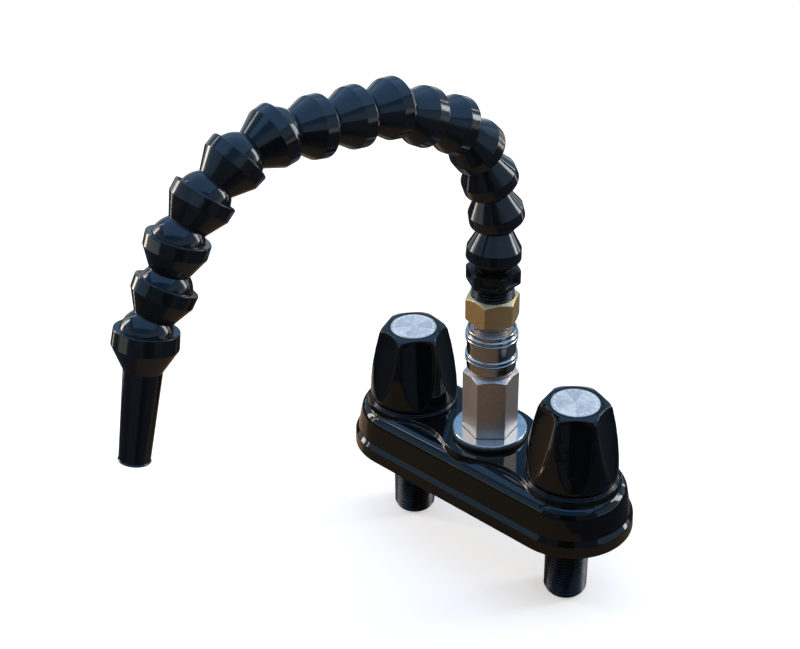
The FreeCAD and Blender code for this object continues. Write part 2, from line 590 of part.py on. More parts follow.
# Brass adapter: hexagon with the plug below it and the hose's thread inside
adapter = hex_piece("brass_adapter", S.adapter_flats, S.adapter_low_z, S.adapter_z, S.adapter_face_r)
plug = new_sketch(adapter, "plug_profile", "XZ_Plane")
groove_low = S.lock_z - S.groove_half
groove_high = S.lock_z + S.groove_half
slope = S.plug_r - S.groove_r
polygon(plug, [(0, S.nose_z), (S.nose_r, S.nose_z), (S.nose_r, S.nose_step_z), (S.plug_r, S.nose_step_z),
               (S.plug_r, groove_low - slope), (S.groove_r, groove_low), (S.groove_r, groove_high),
               (S.plug_r, groove_high + slope), (S.plug_r, S.adapter_low_z), (0, S.adapter_low_z)])
turn(adapter, "plug_turned", plug)
cylinder(adapter, "adapter_water", S.water_r, S.nose_z, S.thread_floor_z)
cylinder(adapter, "adapter_thread", S.thread_r + S.fit, S.thread_floor_z, S.adapter_z)
stand(adapter, 0, S.adapter_turn)
pieces.append(adapter)

# Hose connector: threaded stub, hexagon with a pocket in each flat, and the hose's first ball
neck_in = root(S.ball_r * S.ball_r - S.waist_out_r * S.waist_out_r)
ball_cut = Size(math.degrees(math.asin(S.ball_end.value / S.ball_r.value)),
                "asin(%s / %s)" % (S.ball_end.text, S.ball_r.text))
connector = hex_piece("hose_connector", S.connector_flats, S.connector_low_z, S.connector_z,
                      S.connector_face_r)
cylinder(connector, "connector_stub", S.thread_r, S.thread_floor_z + S.thread_play, S.connector_low_z, cut=False)
cylinder(connector, "connector_waist", S.waist_out_r, S.connector_z, S.hose_z - neck_in, cut=False)
sphere(connector, "connector_ball", S.ball_r, S.hose_z, cut=False, top=ball_cut)
cylinder(connector, "connector_bore", S.hose_bore_r, S.thread_floor_z + S.thread_play, S.hose_z + S.ball_end)
pocket = connector.newObject("PartDesign::SubtractiveBox", "flat_pocket")
attach(connector, pocket)
pocket.AttachmentOffset = FreeCAD.Placement(FreeCAD.Vector(0, 0, 0), FreeCAD.Rotation())
bind(pocket, "Length", S.pocket_wide)
bind(pocket, "Width", S.pocket_deep + S.loose)
bind(pocket, "Height", S.pocket_high)
bind(pocket, "AttachmentOffset.Base.x", -S.pocket_wide / 2)
bind(pocket, "AttachmentOffset.Base.y", S.connector_flats / 2 - S.pocket_deep)
bind(pocket, "AttachmentOffset.Base.z", (S.connector_low_z + S.connector_z - S.pocket_high) / 2)
around(connector, "flat_pockets", [pocket], 6)
stand(connector, 0, S.connector_turn)
pieces.append(connector)


def hose_directions():
    """Direction of each hose piece, from the bends before it and its own lean."""
    heading = math.radians(S.hose_heading.value)
    along = FreeCAD.Vector(math.cos(heading), math.sin(heading), 0)
    across = FreeCAD.Vector(-math.sin(heading), math.cos(heading), 0)
    total = 0.0
    for number in range(1, int(S.hose_count.value) + 1):
        total += sheet.get("bend_angle_%02d" % number)
        a, b = math.radians(total), math.radians(sheet.get("lean_angle_%02d" % number))
        yield (up * math.cos(a) + along * math.sin(a)) * math.cos(b) + across * math.sin(b)


# Hose: segments from the connector on, each a socket cup, a cone to the waist and a ball, then the nozzle
centre = FreeCAD.Vector(0, 0, S.hose_z.value)
for number, direction in enumerate(hose_directions(), start=1):
    last = number == S.hose_count.value
    name = "hose_nozzle" if last else "hose_segment_%02d" % number
    if last:
        outline = [(0, -S.lip_drop), (S.nozzle_lip_r, -S.lip_drop), (S.nozzle_band_r, S.nozzle_band_z),
                   (S.nozzle_neck_r, S.nozzle_cone_z), (S.nozzle_tip_r, S.nozzle_z - S.nozzle_bead * 3),
                   (S.nozzle_tip_r + S.nozzle_bead, S.nozzle_z - S.nozzle_bead * 2),
                   (S.nozzle_tip_r, S.nozzle_z), (0, S.nozzle_z)]
    else:
        outline = [(0, -S.lip_drop), (S.lip_r, -S.lip_drop), (S.cup_r, S.lip_edge - S.lip_drop),
                   (S.cup_band_r, S.cup_high - S.lip_drop), (S.waist_out_r, S.pitch - neck_in),
                   (0, S.pitch - neck_in)]
    piece = turned(name, outline)
    if not last:
        sphere(piece, name + "_ball", S.ball_r, S.pitch, cut=False, top=ball_cut)
    sphere(piece, name + "_socket", S.ball_r + S.ball_fit, 0, cut=True)
    if last:
        cylinder(piece, name + "_bore", S.nozzle_bore_r, 0, S.nozzle_z)
        cylinder(piece, name + "_throat", S.hose_bore_r, 0, S.nozzle_taper_z)
    else:
        cylinder(piece, name + "_bore", S.hose_bore_r, 0, S.pitch + S.ball_end)
    piece.Placement = FreeCAD.Placement(centre, FreeCAD.Rotation(up, direction))
    pieces.append(piece)
    centre = centre + direction * S.pitch.value

doc.recompute()

# Every feature is sound, and every cut removes something, before anything is written
for item in doc.Objects:
    if "Invalid" in item.State or "Error" in item.State:
        raise RuntimeError("%s is %s" % (item.Name, item.State))
cuts = ("Subtractive", "Pocket", "Groove")
for piece in pieces:
    before = 0.0
    for feature in piece.Group if piece.TypeId == "PartDesign::Body" else []:
        if not feature.isDerivedFrom("PartDesign::Feature"):
            continue
        change = feature.Shape.Volume - before
        before = feature.Shape.Volume
        if any(word in feature.TypeId for word in cuts) != (change < 0) and "Additive" not in feature.TypeId:
            if feature.TypeId in ("PartDesign::PolarPattern", "PartDesign::Fillet"):
                continue
            raise RuntimeError("%s changes the volume by %.3f" % (feature.Name, change))
os.makedirs("parts", exist_ok=True)
for piece in pieces:
    shape = piece.Shape
    solids = len(piece.Links) if piece.TypeId == "Part::Compound" else 1
    if shape.isNull() or not shape.isValid() or len(shape.Solids) != solids or shape.Volume <= 0:
        raise RuntimeError("%s has no sound shape" % piece.Label)
    shape.exportStep("parts/%s.step" % piece.Label)
    print("%-24s solids %d volume %.1f" % (piece.Label, len(shape.Solids), shape.Volume))
print(len(pieces), "pieces")
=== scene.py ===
import json
import math
import bmesh
import bpy
from mathutils import Matrix, Vector


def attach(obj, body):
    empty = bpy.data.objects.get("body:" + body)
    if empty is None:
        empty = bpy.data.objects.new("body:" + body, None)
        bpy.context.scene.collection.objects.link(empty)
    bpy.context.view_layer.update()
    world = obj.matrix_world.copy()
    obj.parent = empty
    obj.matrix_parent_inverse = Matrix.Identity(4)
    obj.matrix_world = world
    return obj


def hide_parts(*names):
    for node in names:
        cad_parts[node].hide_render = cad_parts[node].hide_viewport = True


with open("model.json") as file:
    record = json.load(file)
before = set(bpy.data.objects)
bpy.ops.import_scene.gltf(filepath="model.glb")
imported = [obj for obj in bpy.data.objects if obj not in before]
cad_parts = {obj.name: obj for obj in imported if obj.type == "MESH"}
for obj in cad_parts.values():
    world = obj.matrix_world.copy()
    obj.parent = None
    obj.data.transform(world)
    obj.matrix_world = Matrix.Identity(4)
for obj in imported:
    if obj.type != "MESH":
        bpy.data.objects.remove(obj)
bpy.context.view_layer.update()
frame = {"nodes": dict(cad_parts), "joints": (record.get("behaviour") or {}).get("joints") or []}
nodes = frame["nodes"]
joints = {joint["name"]: joint for joint in frame["joints"]}
MM = 0.001

# Camera: above the right front corner of the tap, about 0.75 m away and looking down a third of
# a right angle, where the two handles stand one behind the other and the hose swings to the left.
EYE = Vector((380.8, -467.4, 457.0)) * MM
YAW, PITCH, ROLL = (math.radians(a) for a in (43.33, 31.39, -0.82))
LENS, FILM = 66.77, 36.0

camera = bpy.data.objects.new("camera", bpy.data.cameras.new("camera"))
bpy.context.scene.collection.objects.link(camera)
camera.data.lens = LENS
camera.data.sensor_width = FILM
camera.data.clip_start = 0.01
look = Vector((-math.sin(YAW) * math.cos(PITCH), math.cos(YAW) * math.cos(PITCH), -math.sin(PITCH)))
level = look.cross(Vector((0, 0, 1))).normalized()
over = level.cross(look)
side = level * math.cos(ROLL) + over * math.sin(ROLL)
rise = over * math.cos(ROLL) - level * math.sin(ROLL)
camera.matrix_world = Matrix.Translation(EYE) @ Matrix((side, rise, -look)).transposed().to_4x4()
bpy.context.scene.camera = camera


# Studio: a white floor under the shanks in a room that is white at the horizon and clear blue overhead.
# A broad lamp hangs above and tall ones stand at the sides. Felt, slate cloth and screens below the
# camera, seen only in reflections, are what the polished sides mirror.
def linear(code):
    """sRGB hex to linear colour with alpha."""
    parts = [int(code[i:i + 2], 16) / 255 for i in (0, 2, 4)]
    return [p / 12.92 if p <= 0.04045 else ((p + 0.055) / 1.055) ** 2.4 for p in parts] + [1.0]


def add(tree, kind, settings=None, **links):
    """Adds a node with its settings, and links or sets its sockets.

    A socket's name reads with _ for a space, and i0, i1 and so on stand for its number.
    """
    node = tree.nodes.new(kind)
    for key, value in (settings or {}).items():
        setattr(node, key, value)
    for key, value in links.items():
        numbered = key[0] == "i" and key[1:].isdigit()
        socket = node.inputs[int(key[1:]) if numbered else key.replace("_", " ")]
        if isinstance(value, bpy.types.NodeSocket):
            tree.links.new(value, socket)
        else:
            socket.default_value = value
    return node


def new_material(name):
    """An empty material, its tree and its output."""
    material = bpy.data.materials.new(name)
    material.use_nodes = True
    material.node_tree.nodes.clear()
    return material, material.node_tree, add(material.node_tree, "ShaderNodeOutputMaterial")


def seen_directly(tree):
    """1 for what the camera, mirrors and clear pieces see, 0 for the light that falls on things."""
    rays = add(tree, "ShaderNodeLightPath")
    seen = rays.outputs["Is Camera Ray"]
    for kind in ("Is Glossy Ray", "Is Transmission Ray"):
        either = add(tree, "ShaderNodeMath", {"operation": "MAXIMUM"}, i0=seen, i1=rays.outputs[kind])
        seen = either.outputs[0]
    return seen


FLOOR_Z, FLOOR_SIZE = -43.9 * MM, 8.0
WHITE_OF_FLOOR, FLOOR_GLOW = "E9E9E9", 0.42
ROOM_LIGHT, ROOM_LEVEL = "FFF6EA", 0.5
SKY = ((0.0, "FFFFFF"), (0.05, "BCD9F2"), (0.14, "8DB9E4"), (0.5, "9DBBD6"), (0.6, "5593CA"),
       (1.0, "3F7FBE"))

scene = bpy.context.scene
scene.view_settings.view_transform = "Standard"
world = bpy.data.worlds.new("studio")
scene.world = world
world.use_nodes = True
tree = world.node_tree
tree.nodes.clear()
soft = add(tree, "ShaderNodeBackground", Color=linear(ROOM_LIGHT), Strength=ROOM_LEVEL)
heading = add(tree, "ShaderNodeSeparateXYZ", Vector=add(tree, "ShaderNodeTexCoord").outputs["Generated"])
sky = add(tree, "ShaderNodeValToRGB", Fac=heading.outputs["Z"])
for _ in SKY[2:]:
    sky.color_ramp.elements.new(0.5)
for stop, (height, colour) in zip(sky.color_ramp.elements, SKY):
    stop.position, stop.color = height, linear(colour)
dome = add(tree, "ShaderNodeBackground", Color=sky.outputs["Color"], Strength=1.0)
room = add(tree, "ShaderNodeMixShader", i0=seen_directly(tree), i1=soft.outputs[0], i2=dome.outputs[0])
add(tree, "ShaderNodeOutputWorld", Surface=room.outputs[0])

bpy.ops.mesh.primitive_plane_add(size=FLOOR_SIZE, location=(0, 0, FLOOR_Z))
floor = bpy.context.active_object
floor.name = "floor"
material, tree, output = new_material("white painted floor")
paint = add(tree, "ShaderNodeBsdfDiffuse", Color=linear(WHITE_OF_FLOOR))
glow = add(tree, "ShaderNodeEmission", Color=linear("FFFFFF"), Strength=FLOOR_GLOW)
lit = add(tree, "ShaderNodeAddShader", i0=paint.outputs[0], i1=glow.outputs[0])
both = add(tree, "ShaderNodeMixShader", i0=seen_directly(tree), i1=paint.outputs[0], i2=lit.outputs[0])
tree.links.new(both.outputs[0], output.inputs["Surface"])
floor.data.materials.append(material)


def hang(name, colour, verts, faces):
    """Adds a matt sheet that only reflections show."""
    material, tree, output = new_material(name.replace("_", " "))
    weave = add(tree, "ShaderNodeBsdfDiffuse", Color=linear(colour))
    tree.links.new(weave.outputs[0], output.inputs["Surface"])
    mesh = bpy.data.meshes.new(name)
    mesh.from_pydata(verts, [], faces)
    mesh.materials.append(material)
    cloth = bpy.data.objects.new(name, mesh)
    scene.collection.objects.link(cloth)
    for kind in ("camera", "diffuse", "transmission", "shadow"):
        setattr(cloth, "visible_" + kind, False)


def sheet(name, colour, middle, radius, lift, around=96):
    """A flat round sheet, laid a little above the floor."""
    x, y = middle
    turns = [2 * math.pi * k / around for k in range(around)]
    verts = [(x + radius * math.cos(a), y + radius * math.sin(a), FLOOR_Z + lift) for a in turns]
    hang(name, colour, verts, [tuple(range(around))])


def screen(name, colour, radius, half, top, strips=24):
    """An upright bent screen that stands below the camera, half degrees to each side of it."""
    middle = math.atan2(EYE.y, EYE.x)
    turns = [middle + math.radians(half) * (2 * k / strips - 1) for k in range(strips + 1)]
    verts = [(radius * math.cos(a), radius * math.sin(a), z) for z in (FLOOR_Z, top) for a in turns]
    hang(name, colour, verts, [(k, k + 1, k + strips + 2, k + strips + 1) for k in range(strips)])


sheet("slate_cloth", "3B4046", (0.0, 0.0), 1.6, 0.5 * MM)
sheet("brown_felt", "80694F", (-0.03, -0.09), 0.21, 1.0 * MM)
sheet("tan_felt", "C09C78", (-0.175, -0.01), 0.06, 2.0 * MM)
screen("grey_screen", "55606B", 0.5, 48, 0.3)
screen("black_screen", "14171A", 0.46, 13, 0.27)

LAMPS = (
    ("overhead", (-0.1, 0.1, 1.15), (0, -0.05, 0.08), (2.2, 2.0), 15.0, "98C2F8"),
    ("right", (0.62, 0.9, 0.45), (0, 0, 0.1), (0.25, 0.8), 5.0, "FFFFFF"),
    ("left", (-0.98, -0.42, 0.3), (0, -0.06, 0.1), (0.16, 0.8), 4.2, "FFF2E4"),
    ("low left", (-0.29, -0.2, 0.18), (0, 0, 0.05), (0.02, 0.4), 0.12, "FFF2E4"),
    ("low right", (0.09, 0.34, 0.18), (0, 0, 0.05), (0.02, 0.4), 0.12, "FFFFFF"),
)
for name, place, target, size, power, colour in LAMPS:
    lamp = bpy.data.objects.new(name, bpy.data.lights.new(name, "AREA"))
    scene.collection.objects.link(lamp)
    lamp.data.shape = "RECTANGLE"
    lamp.data.size, lamp.data.size_y = size
    lamp.data.energy = power
    lamp.data.color = linear(colour)[:3]
    lamp.location = place
    lamp.visible_camera = False
    lamp.rotation_euler = (Vector(target) - Vector(place)).to_track_quat("-Z", "Y").to_euler()


# Gasket: a sheet of black closed-cell foam, cut to the inside of the cover and laid on the sink,
# with a hole for each shank. Only its underside shows.
def surface(name, colour, roughness, metallic=0.0, mottle=0.0, mottle_mm=6.0, grain_mm=0.5, grain=0.0,
            wear=0.0, rings_mm=0.0, rings=0.0):
    """A surface with mottled colour and roughness, a grain and turned rings as bump; sizes in mm."""
    material, tree, output = new_material(name)
    place = add(tree, "ShaderNodeTexCoord").outputs["Object"]
    broad = add(tree, "ShaderNodeTexNoise", Vector=place, Scale=1 / (mottle_mm * MM), Detail=4.0,
                Roughness=0.6)
    fine = add(tree, "ShaderNodeTexNoise", Vector=place, Scale=1 / (grain_mm * MM), Detail=2.0,
               Roughness=0.55)
    shade = add(tree, "ShaderNodeMapRange", Value=broad.outputs["Fac"], From_Min=0.3, From_Max=0.7,
                To_Min=1.0 - mottle, To_Max=1.0 + mottle)
    tone = add(tree, "ShaderNodeVectorMath", {"operation": "SCALE"}, i0=linear(colour)[:3],
               Scale=shade.outputs[0])
    rough = add(tree, "ShaderNodeMapRange", Value=broad.outputs["Fac"], From_Min=0.3, From_Max=0.7,
                To_Min=roughness * (1 - wear), To_Max=roughness * (1 + wear))
    bump = add(tree, "ShaderNodeBump", Strength=grain, Distance=grain_mm * MM * 0.2,
               Height=fine.outputs["Fac"])
    if rings:
        along = add(tree, "ShaderNodeSeparateXYZ", Vector=place)
        phase = add(tree, "ShaderNodeMath", {"operation": "MULTIPLY"}, i0=along.outputs["Z"],
                    i1=2 * math.pi / (rings_mm * MM))
        lathe = add(tree, "ShaderNodeMath", {"operation": "SINE"}, i0=phase.outputs[0])
        bump = add(tree, "ShaderNodeBump", Strength=rings, Distance=rings_mm * MM * 0.1,
                   Height=lathe.outputs[0], Normal=bump.outputs[0])
    shader = add(tree, "ShaderNodeBsdfPrincipled", Base_Color=tone.outputs[0], Roughness=rough.outputs[0],
                 Metallic=metallic, Normal=bump.outputs[0])
    tree.links.new(shader.outputs[0], output.inputs["Surface"])
    return material


def dress(node, material):
    """Gives a CAD node its material."""
    mesh = nodes[node].data
    mesh.materials.clear()
    mesh.materials.append(material)


foam = surface("closed-cell foam", "1C1C1C", 0.9, mottle=0.25, mottle_mm=1.5, grain_mm=0.6, grain=0.6)
dress("deck_gasket", foam)


# Inlet shanks: half-inch pipe threads moulded in black glass-filled acetal, one under each handle.
# The thread is a helix of 1.81 mm pitch that runs out above the cut end.
THREAD_PITCH, THREAD_DEPTH, THREAD_FLAT = 1.814, 1.05, 0.12
THREAD_ROWS, THREAD_COLUMNS = 10.0, 97
SHANK_R, SHANK_BORE, SHANK_END, SHANK_LEAD, SHANK_RUN_OUT = 10.65, 6.5, -43.4, 0.6, 1.6
NECK_R, NECK_Z = 10.2, 1.6


def thread_tree():
    """Node tree that wraps a grid into a threaded skin: a helix whose depth fades at both ends."""
    tree = bpy.data.node_groups.new("thread", "GeometryNodeTree")
    face = tree.interface
    for label in ("Radius", "Depth", "Pitch", "Low", "High", "Fade"):
        face.new_socket(label, in_out="INPUT", socket_type="NodeSocketFloat")
    face.new_socket("Material", in_out="INPUT", socket_type="NodeSocketMaterial")
    face.new_socket("Geometry", in_out="OUTPUT", socket_type="NodeSocketGeometry")
    sizes = add(tree, "NodeGroupInput").outputs

    def calc(operation, a, b=0.0, clamp=False):
        settings = {"operation": operation, "use_clamp": clamp}
        return add(tree, "ShaderNodeMath", settings, i0=a, i1=b).outputs[0]

    span = calc("SUBTRACT", sizes["High"], sizes["Low"])
    rows = calc("ADD", calc("MULTIPLY", calc("DIVIDE", span, sizes["Pitch"]), THREAD_ROWS), 1.0)
    grid = add(tree, "GeometryNodeMeshGrid", Size_X=1.0, Size_Y=1.0, Vertices_X=THREAD_COLUMNS,
               Vertices_Y=rows)
    spot = add(tree, "ShaderNodeSeparateXYZ", Vector=add(tree, "GeometryNodeInputPosition").outputs[0])
    turn = calc("ADD", spot.outputs["X"], 0.5)
    height = calc("ADD", sizes["Low"], calc("MULTIPLY", calc("ADD", spot.outputs["Y"], 0.5), span))
    phase = calc("FRACT", calc("SUBTRACT", calc("DIVIDE", height, sizes["Pitch"]), turn))
    ridge = calc("ABSOLUTE", calc("SUBTRACT", calc("MULTIPLY", phase, 2.0), 1.0))
    crest = calc("MULTIPLY", calc("SUBTRACT", ridge, THREAD_FLAT), 1 / (1 - 2 * THREAD_FLAT), clamp=True)
    near_low = calc("DIVIDE", calc("SUBTRACT", height, sizes["Low"]), sizes["Fade"], clamp=True)
    near_high = calc("DIVIDE", calc("SUBTRACT", sizes["High"], height), sizes["Fade"], clamp=True)
    fade = calc("MULTIPLY", near_low, near_high)
    cut = calc("SUBTRACT", 1.0, calc("MULTIPLY", crest, fade))
    radius = calc("SUBTRACT", sizes["Radius"], calc("MULTIPLY", sizes["Depth"], cut))
    angle = calc("MULTIPLY", turn, 2 * math.pi)
    ring = add(tree, "ShaderNodeCombineXYZ", X=calc("MULTIPLY", radius, calc("COSINE", angle)),
               Y=calc("MULTIPLY", radius, calc("SINE", angle)), Z=height)
    wrapped = add(tree, "GeometryNodeSetPosition", Geometry=grid.outputs["Mesh"], Position=ring.outputs[0])
    closed = add(tree, "GeometryNodeMergeByDistance", Geometry=wrapped.outputs[0], Distance=1e-6)
    smooth = add(tree, "GeometryNodeSetShadeSmooth", Geometry=closed.outputs[0])
    real = add(tree, "GeometryNodeRealizeInstances", Geometry=smooth.outputs[0])
    named = add(tree, "GeometryNodeSetMaterial", Geometry=real.outputs[0], Material=sizes["Material"])
    add(tree, "NodeGroupOutput", Geometry=named.outputs[0])
    return tree


def grown(name, tree, **values):
    """Runs a Geometry Nodes tree and returns its result as a plain mesh."""
    seed = bpy.data.objects.new(name + " seed", bpy.data.meshes.new(name + " seed"))
    scene.collection.objects.link(seed)
    modifier = seed.modifiers.new("tree", "NODES")
    modifier.node_group = tree
    for item in tree.interface.items_tree:
        if item.item_type == "SOCKET" and item.in_out == "INPUT" and item.name in values:
            modifier[item.identifier] = values[item.name]
    bpy.context.view_layer.update()
    evaluated = seed.evaluated_get(bpy.context.evaluated_depsgraph_get())
    mesh = bpy.data.meshes.new_from_object(evaluated)
    bpy.data.objects.remove(seed)
    return mesh


CORNER_SHARE, GUARD, GUARD_SHARE = 0.45, 0.15, 0.05


def rounded(outline, closed=True):
    """Outline of (radius, height, corner) in mm, with its corners rounded and a loop held beside each."""
    points, count = [], len(outline)
    for i, corner in enumerate(outline):
        here = Vector(corner[:2])
        bend = corner[2] if len(corner) > 2 else 0.0
        if bend <= 0 or (not closed and i in (0, count - 1)):
            points.append(here)
            continue
        before = Vector(outline[i - 1][:2]) - here
        after = Vector(outline[(i + 1) % count][:2]) - here
        half = before.angle(after) / 2
        reach = min(bend / math.tan(half), before.length * CORNER_SHARE, after.length * CORNER_SHARE)
        bend = reach * math.tan(half)
        middle = here + (before.normalized() + after.normalized()).normalized() * (bend / math.sin(half))
        start = here + before.normalized() * reach
        end = here + after.normalized() * reach
        points.append(start + before.normalized() * min(GUARD, before.length * GUARD_SHARE))
        steps = 4 if bend < 2 else 10
        swing = (start - middle).angle_signed(end - middle)
        for k in range(steps + 1):
            arm = (start - middle).copy()
            arm.rotate(Matrix.Rotation(-swing * k / steps, 2))
            points.append(middle + arm)
        points.append(end + after.normalized() * min(GUARD, after.length * GUARD_SHARE))
    return [(p.x, p.y) for p in points]


def turned(name, outline, at=(0, 0, 0), axis=(0, 0, 1), around=96, trim=None, spread=0.0, closed=True,
           twist=0.0):
    """A turned mesh from an outline in mm that runs up its outside and down its inside.

    trim(radius, angle, height) in mm gives the radius that a flat or a scoop leaves; spread draws the
    ring out along X into two half rounds, as far each way.
    """
    angles = [2 * math.pi * k / around - math.pi / 2 for k in range(around)]
    shifts = [spread] * around
    if spread:
        half = around // 2
        angles = [-math.pi / 2 + math.pi * k / half for k in range(half + 1)]
        angles += [math.pi / 2 + math.pi * k / half for k in range(half + 1)]
        shifts = [spread] * (half + 1) + [-spread] * (half + 1)
    count = len(angles)
    verts = []
    for radius, height in outline:
        for angle, shift in zip(angles, shifts):
            r = trim(radius, angle, height) if trim and radius > 0 else radius
            verts.append(Vector((shift + r * math.cos(angle), r * math.sin(angle), height)) * MM)
    rings = len(outline)
    faces = []
    for i in range(rings if closed else rings - 1):
        upper = (i + 1) % rings
        for j in range(count):
            nxt = (j + 1) % count
            faces.append((i * count + j, i * count + nxt, upper * count + nxt, upper * count + j))
    mesh = bpy.data.meshes.new(name)
    mesh.from_pydata(verts, [], faces)
    build = bmesh.new()
    build.from_mesh(mesh)
    bmesh.ops.remove_doubles(build, verts=build.verts, dist=1e-7)
    build.to_mesh(mesh)
    build.free()
    turn = Vector(axis).to_track_quat("Z", "Y").to_matrix().to_4x4()
    mesh.transform(Matrix.Translation(Vector(at) * MM) @ turn @ Matrix.Rotation(math.radians(twist), 4, "Z"))
    return mesh


def piece(name, meshes, material, body, *replaced, sharp=40.0, slot=None):
    """Joins meshes into one smooth piece that rides on a body and stands for CAD nodes."""
    build = bmesh.new()
    for mesh in meshes:
        build.from_mesh(mesh)
    mesh = bpy.data.meshes.new(name)
    build.to_mesh(mesh)
    build.free()
    mesh.materials.clear()
    mesh.materials.append(material)
    mesh.polygons.foreach_set("use_smooth", [True] * len(mesh.polygons))
    mesh.polygons.foreach_set("material_index", [0] * len(mesh.polygons))
    mesh.set_sharp_from_angle(angle=math.radians(sharp))
    part = bpy.data.objects.new(name, mesh)
    scene.collection.objects.link(part)
    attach(part, body)
    if replaced:
        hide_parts(*replaced)
    return part


filled_acetal = surface("black glass-filled acetal", "08090B", 0.28, mottle=0.2, mottle_mm=4.0,
                        grain_mm=0.35, grain=0.3, wear=0.2)
thread = thread_tree()
handle_at = {hand: joints["handle_%s_turn" % hand]["pos_m"][0] / MM for hand in ("left", "right")}
thread_low, root = SHANK_END + SHANK_LEAD, SHANK_R - THREAD_DEPTH
for side_name, x in handle_at.items():
    skin = grown("shank thread " + side_name, thread, Radius=SHANK_R * MM, Depth=THREAD_DEPTH * MM,
                 Pitch=THREAD_PITCH * MM, Low=thread_low * MM, High=0.0, Fade=SHANK_RUN_OUT * MM)
    skin.transform(Matrix.Translation((x * MM, 0, 0)))
    rest = turned("shank bore " + side_name, rounded([
        (root, 0.0), (NECK_R, 0.0), (NECK_R, NECK_Z), (SHANK_BORE, NECK_Z),
        (SHANK_BORE, SHANK_END, 0.3), (root - 0.5, SHANK_END, 0.2), (root, thread_low)], closed=False),
        at=(x, 0, 0), closed=False)
    piece("threaded_shank_" + side_name, [skin, rest], filled_acetal, "base",
          "inlet_shank_" + side_name, slot="body_plastic")


# Valve body: one moulding under the cover, black glass-filled acetal, with a tower for each valve
# and a boss in the middle. It is closed in by the cover and the gasket.
dress("valve_body", filled_acetal)


# Deck cover: a shell moulded in glossy black ABS, an obround skirt with a soft shoulder and a raised
# plateau that widens to a collar round each handle and to a boss in the middle.
HANDLE_X = handle_at["right"]
SKIRT = [(30.85, 0.0, 0.3), (30.6, 6.4, 1.2), (28.95, 8.7, 1.2), (28.4, 12.5, 6.0), (26.2, 24.9, 8.0)]
INSIDE = [(20.6, 22.3), (24.4, 18.5), (25.9, 10.5), (27.0, 5.2), (28.15, 2.6), (28.25, 0.0, 0.3)]
COLLAR_R, BOSS_R, WAIST_R = 23.2, 24.2, 32.0
SHELF_Z, PLATEAU_Z, RIM_Z = 24.9, 27.3, 28.5
SIDE_SLOPE, SIDE_EDGE, SIDE_FOOT = 4.0, 0.5, 1.0
RUN_OUT, RUN_IN, SIDE_ROWS, FOOT_LIFT, FOOT_SUNK = 3.0, 0.6, 44, 0.03, 0.5
COLLAR_STEPS, WAIST_STEPS, BOSS_STEPS = 120, 24, 64
RIM_R, RIM_HOLE_R = 22.3, 18.5

gloss_abs = surface("glossy black ABS", "060809", 0.05, mottle=0.1, mottle_mm=30.0, grain_mm=9.0, grain=0.03,
                    wear=0.3)


def lesser(a, b, width=0.5):
    """The smaller of two lengths, with the corner between them rounded over width."""
    near = max(width - abs(a - b), 0.0) / width
    return min(a, b) - near * near * width / 4


def plateau_outline():
    """Points round the plateau with their outward normals.

    Two collars and a boss, joined by four hollow arcs.
    """
    waist_x = ((BOSS_R + WAIST_R) ** 2 - (COLLAR_R + WAIST_R) ** 2 + HANDLE_X ** 2) / (2 * HANDLE_X)
    waist_y = math.sqrt((BOSS_R + WAIST_R) ** 2 - waist_x ** 2)
    to_boss = math.atan2(waist_y, waist_x)
    to_collar = math.atan2(waist_y, waist_x - HANDLE_X)

    def sweep(x, y, radius, first, last, steps, sense=1):
        for k in range(steps):
            a = first + (last - first) * k / steps
            ray = Vector((math.cos(a), math.sin(a)))
            yield Vector((x, y)) + ray * radius, ray * sense

    half = list(sweep(HANDLE_X, 0, COLLAR_R, -to_collar, to_collar, COLLAR_STEPS))
    half += sweep(waist_x, waist_y, WAIST_R, to_collar - math.pi, to_boss - math.pi, WAIST_STEPS, -1)
    half += sweep(0, 0, BOSS_R, to_boss, math.pi - to_boss, BOSS_STEPS)
    half += sweep(-waist_x, waist_y, WAIST_R, -to_boss, -to_collar, WAIST_STEPS, -1)
    return half + [(-p, -n) for p, n in half]


def shelf_height(x, y):
    """Height of the skirt's top and shoulder at a point in plan."""
    r = math.hypot(max(abs(x) - HANDLE_X, 0.0), y)
    for (r1, z1), (r2, z2) in zip(SHOULDER, SHOULDER[1:]):
        if r2 <= r <= r1:
            return z1 + (z2 - z1) * (r1 - r) / max(r1 - r2, 1e-9)
    return SHELF_Z


def plateau():
    """The plateau's coned side, with a rounded edge and a hollow foot, and its top."""
    ring = plateau_outline()
    verts, faces, count = [], [], len(ring)
    for k in range(-1, SIDE_ROWS + 1):
        out = RUN_OUT - (RUN_OUT + RUN_IN) * max(k, 0) / SIDE_ROWS
        sunk = FOOT_SUNK if k < 0 else 0.0
        for p, n in ring:
            spot = p + n * out
            side = lesser(PLATEAU_Z, PLATEAU_Z - SIDE_SLOPE * out, SIDE_EDGE)
            shelf = shelf_height(spot.x, spot.y) + FOOT_LIFT
            height = -lesser(-side, -shelf, SIDE_FOOT) - sunk
            verts.append(Vector((spot.x, spot.y, height)) * MM)
    rows = SIDE_ROWS + 2
    for i in range(rows - 1):
        for j in range(count):
            nxt = (j + 1) % count
            faces.append((i * count + j, i * count + nxt, (i + 1) * count + nxt, (i + 1) * count + j))
    faces.append(tuple((rows - 1) * count + j for j in range(count)))
    faces.append(tuple(count - 1 - j for j in range(count)))
    mesh = bpy.data.meshes.new("plateau")
    mesh.from_pydata(verts, [], faces)
    return mesh


